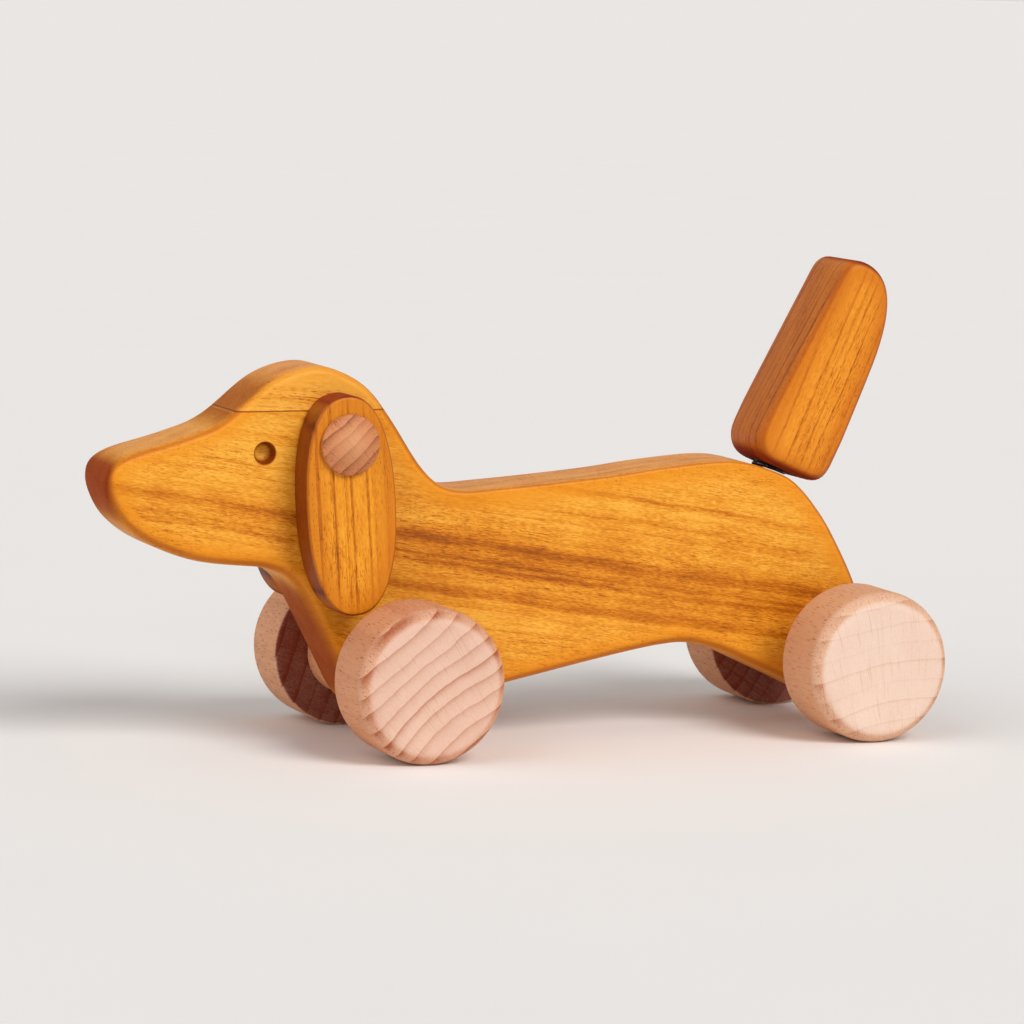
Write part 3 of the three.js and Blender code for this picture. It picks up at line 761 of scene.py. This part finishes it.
def pale_beech(
        name, place, pith, sway, ring_width, ring_sharpness, ring_depth, ray_depth, tones, inner_shade_side=0):
    """Bare beech, turned with its grain along Y. pith is where the tree's middle lies from the place, in mm
    along X and Z. Rings waver by sway, darken outwards and end sharply, and rays cross them.
    tones gives the pale and the dark colour. Turned edges show side grain, which is darker and has flecks
    along Y. A face that looks to the inner side along Y is darkened towards the dark tone as painted shade."""
    finish, start = new_finish(name)
    spot = start.node("ShaderNodeTexCoord", output="Object")
    local = start.node("ShaderNodeMapping", {"vector_type": "TEXTURE"}, {
        "Vector": spot, "Location": place, "Scale": (MM, MM, MM)})
    fore, along, up = local.parts()

    # Rings follow the distance from the pith, which wavers.
    sway_fore, _, sway_up = local.noise(RING_DRIFT, 1, "Color").parts()
    out_fore = fore - pith[0] + sway * (sway_fore - 0.5)
    out_up = up - pith[1] + sway * (sway_up - 0.5)
    reach = (out_fore * out_fore + out_up * out_up) ** 0.5
    phase, chance = (reach / ring_width + 0.04 * sway * (local.noise(RING_FRAY, 1) - 0.5)).ring()

    # Masks: all side grain, the tread alone, the rounded edge between, and the inner face, which takes
    # painted shade.
    outward = start.node("ShaderNodeTexCoord", output="Normal").parts()[1]
    side = abs(outward).fade(*SIDE_GRAIN)
    tread = abs(outward).fade(*TREAD)
    edge = side - tread
    inner = (inner_shade_side * outward).fade(*INNER_SHADE_FACING)

    # Each ring darkens outwards, by an amount of its own, and rays run out across the rings.
    late = phase**ring_sharpness * (1 - edge) + 1.7 * phase**2 * edge
    late = late * phase.fade(1, 0.96) * (0.35 + 0.65 * chance) * (1 - 0.7 * tread)
    sweep = out_up.maths("ARCTAN2", out_up, out_fore) * math.hypot(*pith)
    ray_space = start.node("ShaderNodeCombineXYZ", {}, {"X": sweep, "Y": along, "Z": reach})
    ray = ray_space.noise(RAY, 1).fade(0.58, 0.76)
    fine = local.swing(FINE_GRAIN, 2)
    cloud = local.swing(CLOUD, 2)
    fleck = local.noise(FLECK, 1).fade(0.6, 0.72) * side
    thread = local.swing(THREAD, 2) * side

    # The shade runs from 0, the pale tone, to 1, the dark one. Its share from the inner face is painted
    # shade.
    shade = 0.05 + ring_depth * late * (1 - 0.6 * inner) + ray_depth * ray * (1 - tread)
    shade = shade + 0.09 * fine + 0.08 * cloud + 0.1 * thread + 0.85 * inner
    colour = start.node("ShaderNodeValToRGB", {"stops": [(0, tones[0]), (1, tones[1])]}, {"Fac": shade})
    colour = colour.mix(TURNED_EDGE_TINT, edge, "MULTIPLY")
    colour = colour.mix(TREAD_TINT, tread, "MULTIPLY")
    colour = colour.mix(tones[1], 0.6 * fleck, "MULTIPLY")

    roughness = 0.62 + 0.05 * fine
    height = 0.3 * fine - fleck - 0.3 * late
    normal = start.node("ShaderNodeBump", {}, {"Strength": 0.2, "Distance": BEECH_RELIEF, "Height": height})
    start.surface({
        "Base Color": colour, "Roughness": roughness, "Normal": normal, "Specular IOR Level": BEECH_GLOSS})
    return finish


PEG_TONES = (seen(217, 150, 103), seen(128, 62, 34))
for side, sign, pith in (("left", 1, (-26, -31)), ("right", -1, (20, -40))):
    place = joint_place[f"{side}_ear_swing"].copy()
    low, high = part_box(f"{side}_ear_peg")
    tip = max(abs(low.y), abs(high.y))
    shank = high.y - low.y - PEG_RIM - PEG_DOME
    place.y = sign * (tip - PEG_RIM - PEG_DOME)
    wood = pale_beech(
        f"Beech {side} peg", place, pith, sway=4, ring_width=3.4, ring_sharpness=4, ring_depth=0.6,
        ray_depth=0.3, tones=PEG_TONES)
    dome = []
    for step in range(PEG_DOME_STEPS + 1):
        share = 1 - step / PEG_DOME_STEPS
        dome.append((PEG_RADIUS * share, PEG_RIM + PEG_DOME * (1 - share**PEG_DOME_POWER), 0))
    dome[0] = (*dome[0][:2], PEG_RIM_EASE)
    peg = turned_piece(f"{side}_turned_peg", place, sign, PEG_SIDES, wood, [
        (0, -shank, 0),
        (PEG_SHANK_RADIUS, -shank, PEG_SHANK_EASE),
        (PEG_SHANK_RADIUS, 0, 0),
        (PEG_RADIUS, 0, PEG_UNDER_EASE),
        *dome,
    ])
    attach(peg, "root")
    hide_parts(f"{side}_ear_peg")

# Axles and spacers
# Beech dowels run through the legs and are glued into the wheels. A turned ring on each end
# keeps the wheel clear of the ears, and turns with it.
AXLE_SIDES = 48
AXLE_CHAMFER = 0.8 * MM
AXLE_EASE = 0.3 * MM
SPACER_EDGE = 0.8 * MM
DOWEL_TONES = (seen(234, 190, 160), seen(186, 128, 94))
for end, pith in (("front", (30, 24)), ("rear", (-18, 36))):
    place = joint_place[f"{end}_wheels_roll"].copy()
    wood = pale_beech(
        f"Beech {end} dowel", place, pith, sway=2, ring_width=3, ring_sharpness=3, ring_depth=0.5,
        ray_depth=0.3, tones=DOWEL_TONES)
    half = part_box(f"{end}_axle")[1].y
    axle = turned_piece(f"{end}_dowel_axle", place, 1, AXLE_SIDES, wood, [
        (0, -half, 0),
        (AXLE_RADIUS - AXLE_CHAMFER, -half, 0),
        (AXLE_RADIUS, AXLE_CHAMFER - half, AXLE_EASE),
        (AXLE_RADIUS, half - AXLE_CHAMFER, AXLE_EASE),
        (AXLE_RADIUS - AXLE_CHAMFER, half, 0),
        (0, half, 0),
    ])
    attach(axle, f"{end}_wheel_set")
    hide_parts(f"{end}_axle")
    for side, sign in (("left", 1), ("right", -1)):
        node = f"{end}_{side}_spacer"
        low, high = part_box(node)
        inner, outer = sorted((abs(low.y), abs(high.y)))
        radius = (high.z - low.z) / 2
        bore = AXLE_RADIUS + FIT
        spacer = turned_piece(f"{end}_{side}_turned_spacer", place, sign, AXLE_SIDES, wood, [
            (bore, (inner + outer) / 2, 0),
            (bore, inner, 0),
            (radius, inner, SPACER_EDGE),
            (radius, outer, SPACER_EDGE),
            (bore, outer, 0),
            (bore, (inner + outer) / 2, 0),
        ])
        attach(spacer, f"{end}_wheel_set")
        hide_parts(node)

# Wheels
# Thick slices of a turned beech round, bare of oil, so that end grain shows on their faces.
# The outer edge is rounded over, and the axle is glued into a blind hole in the inner face.
WHEEL_SIDES = 128
WHEEL_OUTER_ROUND = 5.3 * MM
WHEEL_INNER_ROUND = 1.6 * MM
AXLE_SEAT = 16 * MM
# The right wheels' dark tone is mostly painted shade for their inner faces.
RIGHT_WHEEL_TONES_AND_SHADE = (seen(240, 204, 182), seen(122, 44, 16))
WHEEL_LOOKS = {
    ("front", "left"): dict(
        pith=(-84, -108), sway=5, ring_width=5.2, ring_sharpness=3.5, ring_depth=0.95, ray_depth=0.2,
        tones=(seen(230, 190, 168), seen(176, 103, 66))),
    ("front", "right"): dict(
        pith=(190, 50), sway=2, ring_width=5.6, ring_sharpness=4, ring_depth=0.5, ray_depth=0.2,
        tones=RIGHT_WHEEL_TONES_AND_SHADE),
    ("rear", "left"): dict(
        pith=(-20, -125), sway=3, ring_width=6.4, ring_sharpness=14, ring_depth=0.45, ray_depth=0.28,
        tones=(seen(236, 207, 188), seen(188, 120, 76))),
    ("rear", "right"): dict(
        pith=(124, 60), sway=2, ring_width=5.2, ring_sharpness=4, ring_depth=0.5, ray_depth=0.2,
        tones=RIGHT_WHEEL_TONES_AND_SHADE),
}
for (end, side), look in WHEEL_LOOKS.items():
    node = f"{end}_{side}_wheel"
    sign = 1 if side == "left" else -1
    place = joint_place[f"{end}_wheels_roll"].copy()
    low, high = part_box(node)
    inner, outer = sorted((abs(low.y), abs(high.y)))
    radius = (high.z - low.z) / 2
    bore = AXLE_RADIUS + FIT
    bore_end = inner + AXLE_SEAT + GLUE_ROOM
    # Each wheel's inner face is darkened as painted shade.
    wood = pale_beech(f"Beech {end} {side} wheel", place, inner_shade_side=-sign, **look)
    wheel = turned_piece(f"{end}_{side}_turned_wheel", place, sign, WHEEL_SIDES, wood, [
        (0, bore_end, 0),
        (bore, bore_end, 0),
        (bore, inner, 0),
        (radius - WHEEL_INNER_ROUND - FLAT_RIM, inner, 0),
        (radius, inner, WHEEL_INNER_ROUND),
        (radius, outer, WHEEL_OUTER_ROUND),
        (radius - WHEEL_OUTER_ROUND - FLAT_RIM, outer, 0),
        (0, outer, 0),
    ])
    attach(wheel, f"{end}_wheel_set")
    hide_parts(node)

# Spring
# A coil of blackened steel wire joins the tail to the rump, half of it in each.
# Its ends are turned along the coil, and only a curl shows in the gap under the tail.
WIRE_RADIUS = 0.7 * MM
WIRE_SIDES = 12
CURLS = 8
CURL_STEPS = 32
COIL_RADIUS = SPRING_RADIUS - WIRE_RADIUS
CURL_PITCH = 2 * MM
END_LENGTH = 2 * WIRE_RADIUS
END_STEPS = 8
BEND_ROOM = 3 * MM
STEEL_TONES = (seen(38, 36, 38), seen(120, 116, 112))
SPRING_HALVES = (("lower_spring", -1, ("root", "tail_spring")), ("upper_spring", 1, ("tail_spring", "tail")))


def wire_nodes():
    """Geometry Nodes that run a round wire along a chain of edges."""
    tree = bpy.data.node_groups.new("Wire", "GeometryNodeTree")
    sockets = tree.interface
    sockets.new_socket("Path", in_out="INPUT", socket_type="NodeSocketGeometry")
    sockets.new_socket("Wire Radius", in_out="INPUT", socket_type="NodeSocketFloat")
    sockets.new_socket("Wire Sides", in_out="INPUT", socket_type="NodeSocketInt")
    sockets.new_socket("Finish", in_out="INPUT", socket_type="NodeSocketMaterial")
    sockets.new_socket("Wire", in_out="OUTPUT", socket_type="NodeSocketGeometry")
    given = Wire(tree).node("NodeGroupInput", output="Path")
    path = given.node("GeometryNodeMeshToCurve", {}, {"Mesh": given})
    section = given.node("GeometryNodeCurvePrimitiveCircle", {}, {
        "Resolution": given.other("Wire Sides"), "Radius": given.other("Wire Radius")})
    drawn = given.node("GeometryNodeCurveToMesh", {}, {
        "Curve": path, "Profile Curve": section, "Fill Caps": True})
    whole = given.node("GeometryNodeRealizeInstances", {}, {"Geometry": drawn})
    made = given.node("GeometryNodeSetMaterial", {}, {"Geometry": whole, "Material": given.other("Finish")})
    given.node("NodeGroupOutput", {}, {"Wire": made})
    return tree


def dark_steel(name):
    """Blackened spring wire: dark oxide, worn to bare steel in small patches."""
    finish, start = new_finish(name)
    spot = start.node("ShaderNodeTexCoord", output="Object").vector("SCALE")
    spot.socket.node.inputs["Scale"].default_value = 1 / MM
    worn = start.node("ShaderNodeTexNoise", {}, {"Vector": spot, "Scale": 0.9, "Detail": 3}).fade(0.5, 0.75)
    colour = start.node("ShaderNodeValToRGB", {"stops": list(enumerate(STEEL_TONES))}, {"Fac": worn})
    start.surface({"Base Color": colour, "Metallic": 0.6 + 0.4 * worn, "Roughness": 0.45 - 0.15 * worn})
    return finish


wire_tree = wire_nodes()
spring_steel = dark_steel("Blackened spring wire")
half_spring = []
for step in range(CURLS * CURL_STEPS // 2 + 1):
    angle = 2 * math.pi * step / CURL_STEPS
    half_spring.append((angle, CURL_PITCH * step / CURL_STEPS))
last_angle, last_height = half_spring[-1]
for step in range(1, END_STEPS + 1):
    share = math.pi / 2 * step / END_STEPS
    half_spring.append((last_angle + END_LENGTH / COIL_RADIUS * math.sin(share),
                        last_height + END_LENGTH * (1 - math.cos(share))))
half_spring.append((half_spring[-1][0], last_height + 2 * END_LENGTH))
wire_sizes = {"Wire Radius": WIRE_RADIUS, "Wire Sides": WIRE_SIDES, "Finish": spring_steel}
for name, way, bodies in SPRING_HALVES:
    path = []
    for angle, height in half_spring:
        turn = way * angle
        spot = Vector((COIL_RADIUS * math.cos(turn), COIL_RADIUS * math.sin(turn), way * height))
        path.append(tail_place @ spot)
    spring = add_piece(name, run_nodes(name, path, wire_tree, wire_sizes), spring_steel)
    ends = (tail_root, tail_root + way * BEND_ROOM * tail_up)
    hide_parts("tail_spring")
    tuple(ends[0] if way > 0 else ends[1])
    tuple(ends[1] if way > 0 else ends[0])
    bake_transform(spring)

# Tail
# A flat paddle of the body's hardwood, sawn with the grain along it and rounded over like the body.
# A hole in its foot takes the upper half of the spring, which holds it just clear of the rump.
TAIL_EDGE = 2.8 * MM
# Up to a share of the foot's height the edge keeps the board's size, and then it eases to its own.
TAIL_FOOT = 12 * MM
TAIL_FOOT_EVEN = 0.5
TAIL_TONES = (seen(242, 156, 44), seen(224, 134, 24), seen(190, 101, 10), seen(126, 61, 6))
TAIL_GLOW = seen(206, 112, 12)
TAIL_WALL = seen(214, 190, 112)
TAIL_BANDS = (
    (6, 0.2), (9.5, 0.15), (12, 0.2), (13.2, 0.25), (14, 0.75), (14.6, 0.25), (17.7, 0.2), (18.5, 0.7),
    (19.1, 0.2), (20.4, 0.2), (20.9, 0.5), (21.4, 0.2), (22.5, 0.2), (23.2, 0.65), (23.7, 0.2),
    (25.9, 0.25), (26.6, 0.65), (27.1, 0.25), (28.5, 0.25), (29, 0.5), (29.4, 0.25), (30.4, 0.3),
    (31.2, 0.75), (31.8, 0.3), (36, 0.5), (42, 0.4))
tail_outline = smoothed(sawn_outline("tail", SAW_CUT_DEPTH), OUTLINE_STEP)
bits = bmesh.new()
straight_bit(bits, SPRING_RADIUS + SPRING_ROOM, -spring_hole, spring_hole, tail_place)
tail_edges = []
for corner in tail_outline:
    height = (Vector((corner.x, 0, corner.y)) - tail_root).dot(tail_up)
    share = min(1, max(0, height / TAIL_FOOT - TAIL_FOOT_EVEN))
    tail_edges.append(BOARD_EDGE + (TAIL_EDGE - BOARD_EDGE) * share)
tail_shape = drilled(rounded_board(tail_outline, -half_board, half_board, tail_edges, EDGE_STEPS), bits)
tail_wood = oiled_wood(
    "Oiled tail", place=tail_root, turn=-TAIL_LEAN - math.pi / 2, pith=(-18, 22), taper=0.03, bend=0.02,
    fibre_rise=0.02, sway=0.4, ring_width=3.1, ring_depth=0.15, bands=TAIL_BANDS, tones=TAIL_TONES,
    glow=TAIL_GLOW, wall_tint_and_shade=TAIL_WALL)
tail = add_piece("sawn_tail", tail_shape, tail_wood, tail_outline)
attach(tail, "tail")
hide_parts("tail")

# Floor, light and camera
# A pale matt floor under a soft studio lamp to the right of the camera and a weak one to its left.
# The camera has a long lens, level with the back of the dog, on the side of its left ear.
FLOOR_SIZE = 30
FLOOR_TONES = ((0.3, seen(244, 241, 238)), (0.7, seen(243, 240, 237)))
FLOOR_GRAIN = 9
FLOOR_ROUGHNESS = 0.8
LAMP_AZIMUTH = math.radians(203)
LAMP_RISE = math.radians(40)
LAMP_SPREAD = math.radians(32)
LAMP_POWER = 2.05
FILL_AZIMUTH = math.radians(98)
FILL_RISE = math.radians(30)
FILL_SPREAD = math.radians(70)
FILL_POWER = 1.1
ROOM_LIGHT = 0.3
BACKDROP = seen(224, 221, 218)
CAMERA_PLACE = Vector((555.3, 1290.4, 251.95)) * MM
CAMERA_AZIMUTH = math.radians(156.6)
CAMERA_RISE = math.radians(7.26)
CAMERA_ROLL = math.radians(1.56)
CAMERA_LENS = 153.2


def way_to(azimuth, rise):
    """The direction to something: azimuth 0 is towards -Y and 90 degrees towards +X, and rise is up."""
    return Vector((math.sin(azimuth) * math.cos(rise), -math.cos(azimuth) * math.cos(rise), math.sin(rise)))


def facing_frame(back, roll):
    """A turned frame whose Z points back from what is looked at, rolled about that."""
    level = Vector((0, 0, 1)).cross(back).normalized()
    upright = back.cross(level)
    right = level * math.cos(roll) + upright * math.sin(roll)
    return Matrix((right, back.cross(right), back)).transposed().to_4x4()


floor_paint, paint = new_finish("Pale floor")
grain = paint.node("ShaderNodeTexNoise", {}, {
    "Vector": paint.node("ShaderNodeTexCoord", output="Object"), "Scale": FLOOR_GRAIN, "Detail": 4})
floor_colour = paint.node("ShaderNodeValToRGB", {"stops": FLOOR_TONES}, {"Fac": grain})
paint.surface({"Base Color": floor_colour, "Roughness": FLOOR_ROUGHNESS})
floor_shape = bmesh.new()
bmesh.ops.create_grid(floor_shape, x_segments=1, y_segments=1, size=FLOOR_SIZE)
floor = add_piece("studio_floor", floor_shape, floor_paint)

world = bpy.data.worlds.new("Studio")
bpy.context.scene.world = world
world.use_nodes = True
world.node_tree.nodes.clear()
sky = Wire(world.node_tree)
paths = sky.node("ShaderNodeLightPath", output="Is Camera Ray")
rays = paths
for kind in ("Is Glossy Ray", "Is Transmission Ray"):
    rays = rays.maths("MAXIMUM", rays, paths.other(kind))
light = sky.node("ShaderNodeBackground", {}, {"Color": grey(1), "Strength": ROOM_LIGHT})
backdrop = sky.node("ShaderNodeBackground", {}, {"Color": BACKDROP, "Strength": 1})
sky.node("ShaderNodeOutputWorld", {}, {
    "Surface": sky.node("ShaderNodeMixShader", {}, {0: rays, 1: light, 2: backdrop})})

for name, azimuth, rise, spread, power in (
        ("Soft lamp", LAMP_AZIMUTH, LAMP_RISE, LAMP_SPREAD, LAMP_POWER),
        ("Fill lamp", FILL_AZIMUTH, FILL_RISE, FILL_SPREAD, FILL_POWER)):
    lamp_data = bpy.data.lights.new(name, "SUN")
    lamp_data.angle = spread
    lamp_data.energy = power
    lamp = bpy.data.objects.new(name, lamp_data)
    lamp.matrix_world = facing_frame(way_to(azimuth, rise), 0)
    bpy.context.scene.collection.objects.link(lamp)

camera_data = bpy.data.cameras.new("Camera")
camera_data.lens = CAMERA_LENS
camera = bpy.data.objects.new("Camera", camera_data)
camera_turn = facing_frame(way_to(CAMERA_AZIMUTH, CAMERA_RISE), CAMERA_ROLL)
camera.matrix_world = Matrix.Translation(CAMERA_PLACE) @ camera_turn
bpy.context.scene.collection.objects.link(camera)
bpy.context.scene.camera = camera
bpy.context.scene.view_settings.view_transform = "Standard"

bpy.context.view_layer.update()
